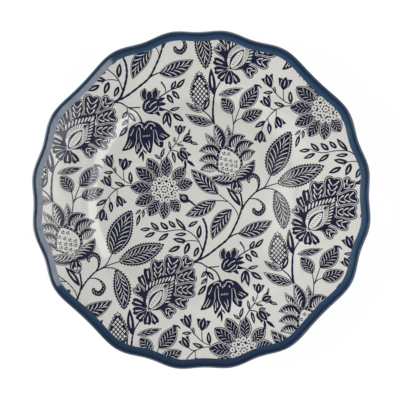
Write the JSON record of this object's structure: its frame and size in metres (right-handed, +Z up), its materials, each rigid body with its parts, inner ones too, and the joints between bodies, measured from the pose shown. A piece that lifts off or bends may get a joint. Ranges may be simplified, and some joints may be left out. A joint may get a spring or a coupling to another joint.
{
  "type": "dinner plate",
  "caption": "Round dinner plate with a flat well, a gently rising flange, a scalloped edge with a coloured rolled rim, and a foot ring.",
  "frame": {"origin": "on the table, under the middle of the plate", "axes": "+Z up out of the well, +Y towards the top of the printed pattern, +X to its right"},
  "size_m": [0.2704, 0.2704, 0.0249],
  "materials": {
    "cream_glaze": "gloss",
    "blue_glaze": "gloss",
    "bare_china": "matt"
  },
  "bodies": {
    "root": {"plate_body": "cream_glaze", "rim_band": "blue_glaze", "foot_ring": "bare_china"}
  },
  "joints": []
}
